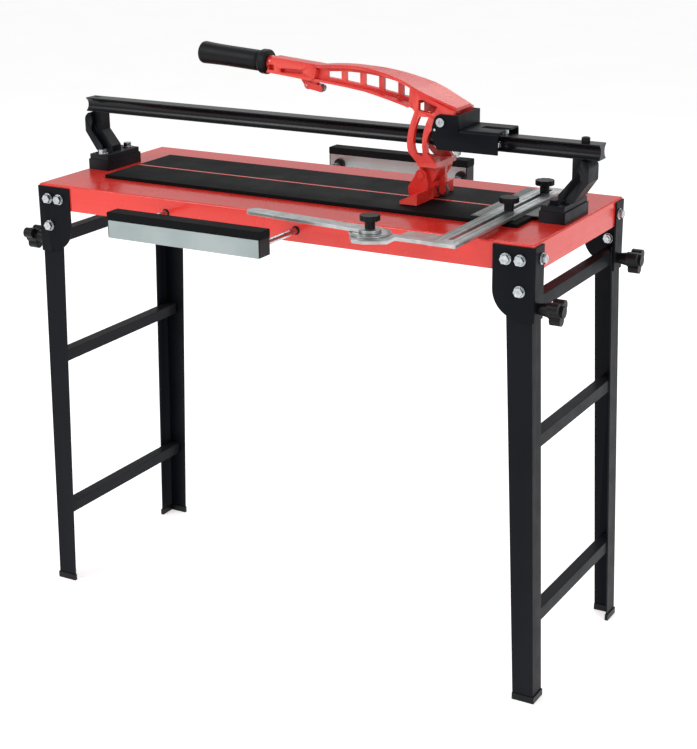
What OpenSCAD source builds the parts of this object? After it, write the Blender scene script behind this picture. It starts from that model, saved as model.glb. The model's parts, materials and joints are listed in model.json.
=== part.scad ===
// Tile cutter on a folding stand: a sheet table with rubber pads, a guide rail on two
// cast posts, a rolling carriage with scoring wheel and breaking lever, two sliding tile
// supports, a sliding square with an angle arm, and two folding leg frames.
// X runs along the cut, Y to the back, Z up. The origin is on the floor under the middle.

/* [Table] */
// Height of the table top above the floor
table_h = 729; // [600:1:900]
// Length of the sheet tray
table_len = 894; // [740:1:1100]
// Width of the sheet tray, front to back
table_wid = 346; // [330:1:420]
// Depth of the skirt folded down all round
skirt_h = 42; // [38:1:50]
// Sheet thickness of the tray
table_t = 2; // [1.5:0.5:3]
// Rounding of the folded top edges
table_edge_r = 3; // [2.5:0.5:5]

/* [Pads] */
// Thickness of the rubber pads and of the breaking rib between them
pad_t = 6; // [4:0.5:10]
// Depth of each pad, front to back
pad_w = 90.75; // [70:0.25:110]
// Thickness of the breaking rib
rib_t = 5; // [3:0.5:8]
// Gap between a pad and the rib
pad_gap = 0.25; // [0:0.05:1]

/* [Corner brackets] */
// Plate thickness of a bracket
bracket_t = 3; // [2:0.5:5]
// Width of a bracket's long face
bracket_w = 66; // [60:1:80]
// Width of a bracket's end face
bracket_side_w = 34; // [32:1:45]
// Height of a bracket
bracket_h = 111; // [105:1:125]
// Bracket top below the table top
bracket_drop = 4; // [2:1:8]
// Bolt shank radius, M8
bolt_r = 4; // [3:0.5:5]
// Leg pivot in from the tray's end
pivot_in = 19.5; // [19.5:0.5:22]
// Leg pivot below the table top
pivot_drop = 69.6; // [66:0.1:75]

/* [Legs] */
// Sheet thickness of a leg angle
leg_t = 2.5; // [2:0.5:3]
// Splay of the legs from upright, degrees
leg_splay = 1.75; // [0:0.25:3]
// Leg's inner edge from the pivot at the top
leg_top_in = 23; // [21:1:28]
// Leg's inner edge from the pivot at the foot
leg_foot_in = 16; // [12:1:20]
// Width of a leg's end flange
leg_side_w = 32; // [26:1:40]
// Square brace tube, outside
brace_w = 20; // [15:1:26]
// Wall of the brace tube
brace_t = 1.5; // [1:0.5:3]
// Drop of the upper and the middle brace below the pivot
brace_drops = [25, 238];
// Height of the lowest brace above the floor
brace_low = 135.4; // [60:0.1:200]
// Height of a foot cap
cap_h = 11; // [8:1:20]
// Wall of a foot cap
cap_t = 1.5; // [1:0.5:4]

/* [Leg lock knobs] */
// Knob axis below the leg pivot
lock_drop = 27; // [24:1:32]
// Knob axis in from the tray's long side
lock_in = 15; // [13:1:18]
// Reach of the three lobes from the knob axis
lock_r = 21.5; // [18:0.5:24]
// Radius of the knob's screw, M6
lock_screw_r = 3; // [2.5:0.5:3.5]

/* [Rail and posts] */
// Rail width
rail_w = 25.4; // [22:0.1:32]
// Rail height
rail_h = 23.5; // [22:0.5:30]
// Radius of the hollow rail sides, which the bearings roll in
groove_r = 11.5; // [10:0.5:14]
// Half thickness of the rail at its waist
rail_waist = 7; // [5:0.5:9]
// Underside of the rail above the table
rail_rise = 93; // [85:1:110]
// Post base block: length, depth, height
post_base = [42, 92, 18];
// Post foot flange: length, depth, height
post_foot = [38, 88, 8.5];
// Depth of the post column
post_w = 40; // [32:1:50]
// Thickness of the post's web
post_web = 24; // [16:1:30]

/* [Carriage] */
// Sheet thickness of the carriage
car_t = 3; // [2:0.5:4]
// Outside width of the carriage
car_w = 77; // [76:1:90]
// Bearing outside diameter
bearing_d = 22; // [19:1:27]
// Bearing thickness
bearing_t = 7; // [5:1:9]
// Radius of the bearing axles
axle_r = 4; // [3:0.5:4.5]

/* [Lever and foot] */
// Lever pivot above the rail's underside
lever_rise = 41.2; // [41:0.1:50]
// Thickness of the lever's web
lever_web = 8; // [6:0.5:12]
// Outside width of the lever's fork
fork_w = 69; // [66:0.5:69]
// Thickness of each fork cheek
fork_t = 7.5; // [6:0.5:9]
// Radius of the lever pivot bolt and the foot pin
pin_r = 4; // [3:0.5:5]
// Scoring wheel diameter
wheel_d = 22; // [18:1:22]
// Scoring wheel thickness
wheel_t = 2; // [1.5:0.5:3]
// Length of the rubber grip
grip_len = 130; // [110:1:150]

/* [Tile supports] */
// Length of a tile support
support_len = 278; // [240:1:320]
// Depth of a tile support
support_w = 28; // [24:1:36]
// Height of the aluminium profile
support_h = 27.5; // [24:0.5:34]
// Thickness of the support's rubber pad
support_pad_t = 12.5; // [8:0.5:16]
// Outer face of a support from the middle of the table, pulled out
support_reach = 309; // [290:1:340]
// Radius of the support rods
rod_r = 5; // [4:0.5:6]

/* [Square] */
// Thickness of the square and of the arm
square_t = 5; // [4:0.5:6]
// Width of the square's long leg
square_w = 43; // [38:1:50]
// Width of the clamping slot
slot_w = 8; // [7:0.5:10]
// Length of the angle arm from its pivot
arm_len = 223.6; // [180:1:240]
// Width of the angle arm
arm_w = 25; // [20:1:30]
// Clamp knob diameter
knob_d = 30; // [25:1:34]

/* [Hidden] */
$fn = 48;

// Colours
red = "#d8403a";
black = "#17191c";
rubber = "#22252a";
zinc = "#b9bfc4";
aluminium = "#a8b4b4";

// Clearances
run_fit = 0.05;     // radial, a shaft that turns or slides in its hole
bolt_fit = 0.2;     // radial, a bolt in a clearance hole
gap = 0.3;          // between faces that pass each other

// Table
half_len = table_len / 2;
half_wid = table_wid / 2;
skirt_z = table_h - skirt_h;
pad_z = table_h + pad_t;

// Corner hardware, at the rear right corner
bolt_z = table_h - 23.6;
bolt_side_y = half_wid - 21;
pivot_x = half_len - pivot_in;
pivot_z = table_h - pivot_drop;
bolt_xs = [half_len - 42, pivot_x];
bracket_top = table_h - bracket_drop;
bracket_bottom = bracket_top - bracket_h;
lock_y = half_wid - lock_in;
lock_z = pivot_z - lock_drop;
bolt_flange = [8.8, 1.8];       // radius and thickness of a bolt's flange
bolt_head = [7.5, 6];           // corner radius and height of a bolt's hexagon
nut_h = 6.5;

// Legs, measured from the pivot
leg_top_r = pivot_in - 0.5;
leg_out = pivot_in - (pivot_z - bracket_bottom) * sin(leg_splay) - 0.2;
leg_y = half_wid - gap;
leg_taper_at = 30;
lock_hole_r = lock_screw_r + 2;

// Posts and rail
post_right_x = half_len - 28;
post_left_x = -half_len + 26;
post_foot_z = post_base[2] + post_foot[2];
post_bolt_x = -2;
post_bolt_y = 34.5;
rail_z = table_h + rail_rise;
rail_top = rail_z + rail_h;
rail_mid = rail_z + rail_h / 2;
rail_x0 = post_left_x - 45.5;
rail_x1 = post_right_x + 58;
rail_screw_x = [post_left_x - 31, post_right_x + 31];
rail_screw = [3, 5.5, 3.5];     // shank radius, head radius, head height
stop = [6.5, 8, 3.2];           // rail stop radius, height, socket radius

// Pads and scale plate
pad_x0 = post_left_x + 50;
pad_x1 = post_right_x - 34;
slot_x = post_right_x - 69;
scale_x = [slot_x - 48, slot_x + 23, slot_x + 46];
scale_y = [-78, 128];
scale_t = 1.8;
stud_ys = [-46, 88];
stud_r = 3;

// Carriage, measured from the lever pivot
lever_x = slot_x - 119;
lever_z = rail_z + lever_rise;
car_x0 = 31;
car_x1 = 94.5;
car_top = rail_top + 9.1 - lever_z;
car_bottom = -lever_rise - 1.1;
car_bend = 6;
car_slot = [53, 17];
bearing_xs = [44, 81];
bearing_y = rail_waist + groove_r - sqrt(pow(groove_r, 2) - pow(bearing_t / 2, 2))
    + gap + bearing_d / 2;
bearing_z = rail_mid - lever_z;
axle_collar_r = min(axle_r + 1.7, bearing_y - rail_w / 2 - gap);
cheek_r = 12;
tab_x = 25;
tab_y = 31;

// Lever head, measured from the lever pivot
window_x = -218;
window_pitch = 33.6;
window_w = 26;
lever_tail = 20;
fork_in = fork_w / 2 - fork_t;
collar_z = [-72, -64];
collar_x = [-43, -9];
foot_pin = [-38, -86.8];
neck_w = 44;
neck_r = 9.5;
ear_t = 7.7;
foot_bottom = pad_z + 1.4 - lever_z;
foot_x = [-58, -28];
foot_y = [-62, 64];
wheel_at = [-14, -113.3];
holder_w = 8;
holder_x = [-19, -9];
link_pin = [-254, 33.8];
roller_at = [-231, 29.9];
link_pin_r = 2;
grip_from = [-327, 64.2];
grip_tilt = 3.8;
tang_r = 7;
tang_in = 95;

// Supports and their guides
support_top = pad_z;
support_mid_x = [-63, -15.5];
rod_offsets = [-127, 116];
rod_z = table_h - 23.6;
rod_len = 310;
channel_y = 60;
channel_t = 2;
channel_w = 22;
channel_h = 37;
channel_len = 660;
grommet = [9.5, 7, 3];          // inner flange radius, neck radius, flange thickness
lock_head = [10, 13];
rod_collar = [10.5, 4];         // radius and thickness, where a rod enters its support

// Square
square_z = pad_z + scale_t + gap;
square_y = [-270, 127];
slot_y = [-240, 110];
foot_leg_y = [-268, -226];
joggle = [-75, -88];            // the short leg steps down between these, from slot_x
tab_z = square_z - 7;
arm_at = [slot_x - 130, -240];
arm_turn = 174.35;
disc_r = 31;
disc_t = 2;
arm_z = tab_z + square_t + disc_t + gap;
knob = [7.5, 12, 8];            // boss radius, boss height, head height

// ---- Helpers ----

// A profile drawn in X and Z, extruded along Y
module slab_y(y0, y1) translate([0, y1, 0]) rotate([90, 0, 0]) linear_extrude(y1 - y0) children();

// A profile drawn in Y and Z, extruded along X
module slab_x(x0, x1) translate([x0, 0, 0]) rotate([90, 0, 90]) linear_extrude(x1 - x0) children();

module rod_y(y0, y1, r) translate([0, y0, 0]) rotate([-90, 0, 0]) cylinder(h = y1 - y0, r = r);

module rod_x(x0, x1, r) translate([x0, 0, 0]) rotate([0, 90, 0]) cylinder(h = x1 - x0, r = r);

module rod_up(z0, z1, r) translate([0, 0, z0]) cylinder(h = z1 - z0, r = r);

module box_at(x, y, z) translate([x[0], y[0], z[0]]) cube([x[1] - x[0], y[1] - y[0], z[1] - z[0]]);

// Repeats what is drawn at the rear right corner
module four_corners() for (mx = [0, 1], my = [0, 1]) mirror([mx, 0, 0]) mirror([0, my, 0]) children();

module front_and_rear() for (my = [0, 1]) mirror([0, my, 0]) children();

// Points of a quadratic curve from a to c, pulled towards b
function curve(a, b, c, n) = [for (i = [0:n]) let (t = i / n, u = 1 - t)
    u * u * a + 2 * t * u * b + t * t * c];

// A hexagon bolt standing on z = 0 with its shank below
module hex_bolt(r, flange, head, len) {
    cylinder(h = flange[1], r = flange[0]);
    cylinder(h = flange[1] + head[1], r = head[0], $fn = 6);
    rod_up(-len, 0.01, r);
}

// A hexagon nut hanging below z = 0
module hex_nut(r, h) difference() {
    union() {
        rod_up(-h, 0, r + 3.2, $fn = 6);
        rod_up(-1.5, 0, r + 4.2);
    }
    rod_up(-h - 1, 1, r + run_fit);
}

// ---- Table ----

module tray_section(w) {
    translate([-w / 2, skirt_z]) square([w, skirt_h - table_edge_r]);
    translate([-w / 2 + table_edge_r, skirt_z]) square([w - 2 * table_edge_r, skirt_h]);
    for (s = [-1, 1]) translate([s * (w / 2 - table_edge_r), table_h - table_edge_r]) circle(table_edge_r);
}

module table_top() color(red) difference() {
    intersection() {
        slab_x(-half_len, half_len) tray_section(table_wid);
        slab_y(-half_wid, half_wid) tray_section(table_len);
    }
    box_at([-half_len + table_t, half_len - table_t], [-half_wid + table_t, half_wid - table_t],
        [skirt_z - 1, table_h - table_t]);
    four_corners() corner_bolt_holes(table_t + 1);
    front_rod_places() rod_y(-half_wid - 1, -half_wid + table_t + 1, grommet[1] + run_fit);
    rear_rod_places() rod_y(half_wid - table_t - 1, half_wid + 1, grommet[1] + run_fit);
    post_bolt_places() rod_up(-table_t - 1, 1, bolt_r + bolt_fit);
    stud_places() rod_up(table_h - table_t - 1, table_h + 1, stud_r + bolt_fit);
}

module breaking_rib() color(red) box_at([pad_x0, pad_x1], [-rib_t / 2, rib_t / 2], [table_h, pad_z]);

module pad(y0, y1) color(rubber) difference() {
    box_at([pad_x0, pad_x1], [y0, y1], [table_h, pad_z]);
    stud_places() rod_up(table_h - 1, pad_z + 1, stud_r + bolt_fit);
}

module front_pad() pad(-rib_t / 2 - pad_gap - pad_w, -rib_t / 2 - pad_gap);

module rear_pad() pad(rib_t / 2 + pad_gap, rib_t / 2 + pad_gap + pad_w);

// ---- Corner brackets and their bolts ----

// Holes of the three table bolts, cut this deep inwards from the bracket's outside
module corner_bolt_holes(deep) {
    for (x = bolt_xs) translate([x, 0, bolt_z])
        rod_y(half_wid - deep, half_wid + bracket_t + 1, bolt_r + bolt_fit);
    translate([0, bolt_side_y, bolt_z])
        rod_x(half_len - deep, half_len + bracket_t + 1, bolt_r + bolt_fit);
}

module bracket_face() {
    left = half_len + bracket_t - bracket_w;
    translate([left, pivot_z]) square([bracket_w, bracket_top - pivot_z]);
    translate([pivot_x, bracket_bottom]) square([pivot_in + bracket_t, pivot_z - bracket_bottom]);
    intersection() {
        translate([pivot_x, pivot_z]) circle(pivot_x - left);
        translate([left, bracket_bottom]) square([bracket_w, pivot_z - bracket_bottom]);
    }
}

module bracket_plan() difference() {
    union() {
        translate([half_len + bracket_t - bracket_w, half_wid]) square([bracket_w, bracket_t]);
        translate([half_len, half_wid + bracket_t - bracket_side_w]) square([bracket_t, bracket_side_w]);
    }
    translate([half_len + bracket_t - 4, half_wid + bracket_t - 4]) difference() {
        square(5);
        circle(4);
    }
}

module corner_brackets() color(black) four_corners() difference() {
    intersection() {
        translate([0, 0, bracket_bottom]) linear_extrude(bracket_h) bracket_plan();
        slab_y(0, half_wid + 50) bracket_face();
    }
    corner_bolt_holes(1);
    translate([pivot_x, 0, pivot_z]) rod_y(half_wid - 1, half_wid + bracket_t + 1, bolt_r + bolt_fit);
    translate([0, lock_y, lock_z]) rod_x(half_len - 1, half_len + bracket_t + 1, lock_screw_r + run_fit);
}

module corner_bolt_places(side) {
    if (side == "long") {
        for (x = bolt_xs) translate([x, half_wid + bracket_t, bolt_z]) rotate([-90, 0, 0]) children();
    } else {
        translate([half_len + bracket_t, bolt_side_y, bolt_z]) rotate([0, 90, 0]) children();
    }
}

module bracket_bolts() color(zinc) four_corners() {
    through = bracket_t + table_t + nut_h + 1.5;
    for (side = ["long", "end"]) corner_bolt_places(side) hex_bolt(bolt_r, bolt_flange, bolt_head, through);
    translate([pivot_x, half_wid + bracket_t, pivot_z]) rotate([-90, 0, 0])
        hex_bolt(bolt_r, bolt_flange, bolt_head, bracket_t + leg_t + 2 * gap + nut_h + 1.5);
}

module table_nuts() color(zinc) {
    four_corners() {
        for (side = ["long", "end"]) corner_bolt_places(side)
            translate([0, 0, -bracket_t - table_t]) hex_nut(bolt_r, nut_h);
        translate([pivot_x, leg_y - leg_t - gap, pivot_z]) rotate([-90, 0, 0]) hex_nut(bolt_r, nut_h);
    }
    post_bolt_places() translate([0, 0, -table_t]) hex_nut(bolt_r, nut_h);
}

// ---- Posts and rail ----

// Each post bolt, with z = 0 on the table top
module post_bolt_places() for (y = [-post_bolt_y, post_bolt_y]) {
    translate([post_right_x + post_bolt_x, y, table_h]) children();
    translate([post_left_x - post_bolt_x, y, table_h]) children();
}

module post_bases() color(black) difference() {
    for (x = [post_left_x, post_right_x]) translate([x - post_base[0] / 2, -post_base[1] / 2, table_h])
        cube(post_base);
    post_bolt_places() rod_up(-1, post_base[2] + 1, bolt_r + bolt_fit);
}

// The column leans outwards, then stands upright under the rail
module column_outline(x0, x1) {
    polygon([[x0, post_foot_z], [21, post_foot_z], [24, post_foot_z + 3], [45, post_foot_z + 33],
        [45, rail_rise - 14], [45 - 14, rail_rise], [x1, rail_rise], [x1, post_foot_z + 35.5],
        [x0, post_foot_z + 9.5]]);
    translate([45 - 14, rail_rise - 14]) circle(14);
}

// Right-hand post about its base's middle, standing on the table top at z = 0
module post_shape() difference() {
    union() {
        translate([-post_foot[0] / 2, -post_foot[1] / 2, post_base[2]]) cube(post_foot);
        slab_y(-post_web / 2, post_web / 2) column_outline(-5, 16);
        intersection() {
            slab_y(-post_w / 2, post_w / 2) column_outline(-5, 16);
            slab_y(-post_w / 2, post_w / 2) translate([12, 0]) column_outline(-1, 20);
        }
    }
    for (y = [-post_bolt_y, post_bolt_y]) translate([post_bolt_x, y, 0])
        rod_up(post_base[2] - 1, post_foot_z + 1, bolt_r + bolt_fit);
    translate([31, 0, 0]) rod_up(rail_rise - 20, rail_rise + 1, rail_screw[0] + run_fit);
}

module right_post() color(black) translate([post_right_x, 0, table_h]) post_shape();

module left_post() color(black) translate([post_left_x, 0, table_h]) mirror([1, 0, 0]) post_shape();

module post_bolts() color(zinc) {
    post_bolt_places() translate([0, 0, post_foot_z])
        hex_bolt(bolt_r, bolt_flange, bolt_head, post_foot_z + table_t + nut_h + 1.5);
    for (x = rail_screw_x) translate([x, 0, rail_top]) {
        rod_up(-rail_h - 18, -rail_screw[2], rail_screw[0]);
        rod_up(-rail_screw[2], -0.4, rail_screw[1]);
    }
}

module guide_rail() color(black) difference() {
    slab_x(rail_x0, rail_x1) difference() {
        translate([-rail_w / 2, rail_z]) square([rail_w, rail_h]);
        for (s = [-1, 1]) translate([s * (rail_waist + groove_r), rail_mid]) circle(groove_r);
    }
    for (x = rail_screw_x) translate([x, 0, 0]) {
        rod_up(rail_z - 1, rail_top, rail_screw[0] + bolt_fit);
        rod_up(rail_top - rail_screw[2], rail_top + 1, rail_screw[1] + bolt_fit);
    }
}

module rail_stop() color(rubber) translate([rail_screw_x[1], 0, rail_top]) difference() {
    union() {
        rod_up(0, stop[1] - 1, stop[0]);
        rod_up(0, stop[1], stop[0] - 1);
    }
    rod_up(stop[1] - 3, stop[1] + 1, stop[2], $fn = 6);
}

// ---- Scale plate and square ----

module stud_places() for (y = stud_ys) translate([slot_x, y, 0]) children();

module scale_plate() color(aluminium) difference() {
    union() {
        box_at([scale_x[0], scale_x[1]], scale_y, [pad_z, pad_z + scale_t]);
        box_at([scale_x[1], scale_x[2]], [-40, 40], [pad_z, pad_z + scale_t]);
    }
    stud_places() rod_up(pad_z - 1, pad_z + scale_t + 1, stud_r + bolt_fit);
}

module guide_studs() color(zinc) stud_places() {
    rod_up(table_h - table_t - 5, square_z + square_t + knob[1] + 2, stud_r);
    rod_up(table_h - table_t - 5, table_h - table_t, stud_r + 3, $fn = 6);
}

module fence_square() color(aluminium) difference() {
    union() {
        box_at([slot_x - 22, slot_x - 22 + square_w], square_y, [square_z, square_z + square_t]);
        box_at([slot_x + joggle[0], slot_x - 21], foot_leg_y, [square_z, square_z + square_t]);
        slab_y(foot_leg_y[0], foot_leg_y[1]) translate([slot_x, 0]) polygon([
            [joggle[0], square_z + square_t], [joggle[0], square_z],
            [joggle[1], tab_z], [joggle[1], tab_z + square_t]]);
        translate([slot_x, 0, tab_z]) linear_extrude(square_t) {
            polygon([[joggle[1], foot_leg_y[1]], [joggle[1], foot_leg_y[0]], [-118, -284],
                [-136, -284], [-152, -262], [-140, foot_leg_y[1]]]);
            translate([-130, arm_at[1]]) circle(disc_r - 4);
        }
    }
    slot_cut();
    translate([arm_at[0], arm_at[1], 0]) rod_up(tab_z - 1, square_z + 1, stud_r + bolt_fit);
}

module slot_cut() {
    box_at([slot_x - slot_w / 2, slot_x + slot_w / 2], slot_y, [square_z - 1, square_z + square_t + 1]);
    for (y = slot_y) translate([slot_x, y, 0]) rod_up(square_z - 1, square_z + square_t + 1, slot_w / 2);
}

// The protractor disc carries the stud that the arm turns on
module protractor() color(aluminium) translate([arm_at[0], arm_at[1], 0]) {
    rod_up(tab_z + square_t, tab_z + square_t + disc_t, disc_r);
    rod_up(tab_z, arm_z + square_t + knob[1] + 2, stud_r);
}

module fence_arm() color(aluminium) translate([arm_at[0], arm_at[1], arm_z]) rotate([0, 0, arm_turn])
    linear_extrude(square_t) difference() {
        union() {
            translate([0, -arm_w / 2]) square([arm_len - arm_w / 2, arm_w]);
            translate([arm_len - arm_w / 2, 0]) circle(arm_w / 2);
            circle(arm_w / 2 + 4);
        }
        circle(stud_r + run_fit);
    }

// A clamp knob standing on z = 0
module clamp_knob() color(black) difference() {
    union() {
        rod_up(0, knob[1] + 1, knob[0]);
        rod_up(knob[1], knob[1] + knob[2], knob_d / 2);
    }
    rod_up(-1, knob[1] + 3, stud_r + run_fit);
    for (a = [0:36:359]) rotate([0, 0, a]) translate([knob_d / 2 + 1.6, 0, 0])
        rod_up(knob[1] - 1, knob[1] + knob[2] + 1, 2.8);
}

module fence_knob_front() translate([slot_x, stud_ys[0], square_z + square_t + gap]) clamp_knob();

module fence_knob_rear() translate([slot_x, stud_ys[1], square_z + square_t + gap]) clamp_knob();

module arm_knob() translate([arm_at[0], arm_at[1], arm_z + square_t + gap]) clamp_knob();

// ---- Carriage, drawn about the lever pivot ----

module at_pivot() translate([lever_x, 0, lever_z]) children();

module channel_section() difference() {
    union() {
        translate([-car_w / 2, car_bottom]) square([car_w, car_top - car_bend - car_bottom]);
        translate([-car_w / 2 + car_bend, car_bottom]) square([car_w - 2 * car_bend, car_top - car_bottom]);
        for (s = [-1, 1]) translate([s * (car_w / 2 - car_bend), car_top - car_bend]) circle(car_bend);
    }
    inner = car_w - 2 * car_t;
    bend = car_bend - car_t;
    translate([-inner / 2, car_bottom - 1]) square([inner, car_top - car_bend - car_bottom + 1]);
    translate([-inner / 2 + bend, car_bottom]) square([inner - 2 * bend, car_top - car_t - car_bottom]);
    for (s = [-1, 1]) translate([s * (inner / 2 - bend), car_top - car_bend]) circle(bend);
}

module cheek_outline() {
    circle(cheek_r);
    polygon([[-6, car_bottom], [-15, -24], [-15, -8], [-10.9, 5.1], [0, cheek_r], [29, cheek_r],
        [29, car_top - 2], [car_x0, car_top - car_bend], [car_x0, car_bottom]]);
}

module carriage_body() color(black) at_pivot() difference() {
    union() {
        slab_x(car_x0, car_x1) channel_section();
        front_and_rear() slab_y(car_w / 2 - car_t, car_w / 2) cheek_outline();
        box_at([26, 29], [-car_w / 2 + car_t, car_w / 2 - car_t], [car_top - car_t, cheek_r]);
        box_at([26, car_x0], [-car_w / 2 + car_bend, car_w / 2 - car_bend], [car_top - car_t, car_top]);
        front_and_rear() box_at([tab_x - 9, tab_x + 9], [tab_y - 5, car_w / 2 - car_t],
            [car_bottom, car_bottom + 3]);
    }
    rod_y(-car_w, car_w, pin_r + run_fit);
    box_at([car_slot[0], car_x1 + 1], [-car_slot[1] / 2, car_slot[1] / 2],
        [car_top - car_t - 1, car_top + 1]);
    front_and_rear() translate([tab_x, tab_y, 0]) rod_up(car_bottom - 1, car_bottom + 4, 3 + run_fit);
    translate([-10.3, 0, -12.1]) rod_y(-car_w, car_w, 2 + run_fit);
}

module axle_places() for (x = bearing_xs, y = [-bearing_y, bearing_y])
    translate([x, y, bearing_z]) children();

module bearing_axles() color(zinc) at_pivot() axle_places() {
    rod_up(-bearing_t / 2 - gap - 4, car_top - car_t - bearing_z, axle_r);
    rod_up(bearing_t / 2 + gap, car_top - car_t - bearing_z, axle_collar_r);
    rod_up(-bearing_t / 2 - gap - 4, -bearing_t / 2 - gap, axle_collar_r);
}

module bearing(x, y) color(zinc) at_pivot() translate([x, y, bearing_z]) difference() {
    rod_up(-bearing_t / 2, bearing_t / 2, bearing_d / 2);
    rod_up(-bearing_t, bearing_t, axle_r + run_fit);
    for (s = [-1, 1]) translate([0, 0, s * bearing_t / 2]) difference() {
        rod_up(-0.6, 0.6, bearing_d / 2 - 2.2);
        rod_up(-0.6, 0.6, axle_r + 2.2);
    }
}

module bearing_front_left() bearing(bearing_xs[0], -bearing_y);

module bearing_front_right() bearing(bearing_xs[1], -bearing_y);

module bearing_rear_left() bearing(bearing_xs[0], bearing_y);

module bearing_rear_right() bearing(bearing_xs[1], bearing_y);

module lever_pivot_bolt() color(zinc) at_pivot() {
    rod_y(-car_w / 2, car_w / 2 + nut_h, pin_r);
    difference() {
        rod_y(-car_w / 2 - 3.5, -car_w / 2, 7);
        rotate([90, 0, 0]) rod_up(car_w / 2 + 1.2, car_w / 2 + 4, 2.6, $fn = 6);
    }
    rotate([-90, 0, 0]) rod_up(car_w / 2, car_w / 2 + nut_h, pin_r + 3.2, $fn = 6);
}

// Two adjusting screws in the tabs under the cheeks, and the two stop pins
module carriage_screws() color(zinc) at_pivot() {
    front_and_rear() translate([tab_x, tab_y, car_bottom]) {
        rod_up(-10, 7, 3);
        rod_up(-6, 0, 6, $fn = 6);
        rod_up(-1.4, 0, 7);
    }
    front_and_rear() translate([-10.3, 0, -12.1]) rod_y(car_w / 2 - car_t, car_w / 2 + 1.2, 2);
}

// ---- Lever, drawn about its pivot ----

arm_top = concat([[-315, 75]], curve([-226, 67.5], [-120, 80], [-30, 41], 12), [[lever_tail, 21]]);
arm_bottom = concat([[-327, 50]], curve([-226, 40], [-140, 33], [-61, 16], 8), [[-46, 22]]);

function flipped(p) = [for (i = [len(p) - 1:-1:0]) p[i]];
function lowered(p, d) = [for (q = p) [q[0], q[1] - d]];

module band(upper, lower) polygon(concat(upper, flipped(lower)));

// Five windows between ribs, from the handle end to the head
module lever_windows() intersection() {
    band(lowered(arm_top, 11), lowered(arm_bottom, -9));
    for (i = [0:4]) translate([window_x + window_pitch * i, 0]) square([window_w, 100]);
}

// The arm in plan: slim at the grip, as wide as the fork at the head
module arm_plan(slim) {
    wide = fork_w / 2;
    tail = wide - fork_t - 3;
    polygon([[-340, slim], [-150, slim + 2], [-72, wide - 8], [-46, wide], [-26, wide], [lever_tail, tail],
        [lever_tail, -tail], [-26, -wide], [-46, -wide], [-72, 8 - wide], [-150, -slim - 2], [-340, -slim]]);
}

module flange(slim) intersection() {
    slab_y(-fork_w / 2, fork_w / 2) children();
    linear_extrude(120) arm_plan(slim);
}

module fork_outline() {
    circle(13);
    polygon(concat([[-57, 19], [-50, 16]], curve([-47, 12], [-66, -34], [-57, -52], 6), [[-43, -66],
        [-11, -66], [-16, -59]], curve([-25, -50], [-30, -25], [-13, -9], 6), [[11, -7], [13, 4],
        [lever_tail, 10], [lever_tail, 16.5], [-30, 37], [-55, 50]]));
}

module fork_windows() {
    polygon(concat(curve([-38.5, 5], [-56, -33], [-44, -53], 6), [[-32.5, -56]],
        curve([-33, -48], [-37, -25], [-23, 5], 6)));
    polygon([[-40, 30], [-34, 31], [-8, 22], [-12, 14], [-18, 11], [-40, 14.5]]);
}

module neck_outline() {
    polygon([[-46, collar_z[0]], [-9, collar_z[0]], [-9, -76], [-22, -98], [-38, -96]]);
    translate(foot_pin) circle(neck_r);
}

module lever_arm() color(red) at_pivot() difference() {
    union() {
        slab_y(-lever_web / 2, lever_web / 2) difference() {
            band(arm_top, arm_bottom);
            lever_windows();
            translate([-8, 0]) square([100, 36]);
        }
        slab_y(-lever_web / 2, lever_web / 2) polygon([[-46, 8], [-46, 30], [-8, 22], [-8, 8]]);
        flange(10) band(arm_top, lowered(arm_top, 5));
        flange(8) band(lowered(arm_bottom, -4), arm_bottom);
        front_and_rear() slab_y(fork_in, fork_w / 2) difference() {
            fork_outline();
            fork_windows();
        }
        slab_y(-12, 12) polygon([[-327, 50], [-315, 75], [-268, 70.8], [-240, 68.5], [-233, 60], [-238, 46],
            [-246, 42]]);
        front_and_rear() slab_y(0, lever_web / 2) {
            translate(link_pin) circle(7);
            translate(link_pin) polygon([[-14, 10], [-7, 0], [7, 0], [30, 8]]);
        }
        translate([grip_from[0], 0, grip_from[1]]) rotate([0, grip_tilt, 0]) {
            rod_x(-tang_in, 12, tang_r);
            rod_x(0.5, 10, 12);
        }
        box_at(collar_x, [-fork_w / 2, fork_w / 2], collar_z);
        slab_y(-neck_w / 2, neck_w / 2) neck_outline();
    }
    front_and_rear() slab_y(5, 13) lever_pocket();
    rod_y(-fork_w, fork_w, pin_r + run_fit);
    translate([foot_pin[0], 0, foot_pin[1]]) rod_y(-fork_w, fork_w, pin_r + run_fit);
    translate([link_pin[0], 0, link_pin[1]]) rod_y(-fork_w, fork_w, link_pin_r + run_fit);
    box_at([holder_x[0] - run_fit, 10], [-holder_w / 2 - run_fit, holder_w / 2 + run_fit],
        [-120, collar_z[0] + 0.05]);
}

// The oval hollow beside the grip
module lever_pocket() {
    for (x = [-297, -262]) translate([x, 55]) circle(3.5);
    translate([-297, 51.5]) square([35, 7]);
    translate([-323, 54]) square([11, 9]);
}

// Half section of the grip, from its closed end to the flared collar
module grip_section() difference() {
    polygon(concat([[0, 0]], curve([13, 0], [18.5, 0], [18.5, 8], 6),
        curve([18.5, 8], [16.6, 22], [16.6, 60], 6),
        curve([16.6, 60], [16.8, grip_len - 24], [19.5, grip_len - 14], 6),
        [[20, grip_len - 8], [19.4, grip_len - 1.5], [17, grip_len], [0, grip_len]]));
    translate([0, grip_len - tang_in]) square([tang_r, tang_in + 1]);
}

module lever_grip() color(rubber) at_pivot()
    translate([grip_from[0], 0, grip_from[1]]) rotate([0, grip_tilt, 0])
            translate([-grip_len, 0, 0]) rotate([0, 90, 0]) rotate_extrude() grip_section();

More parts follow.
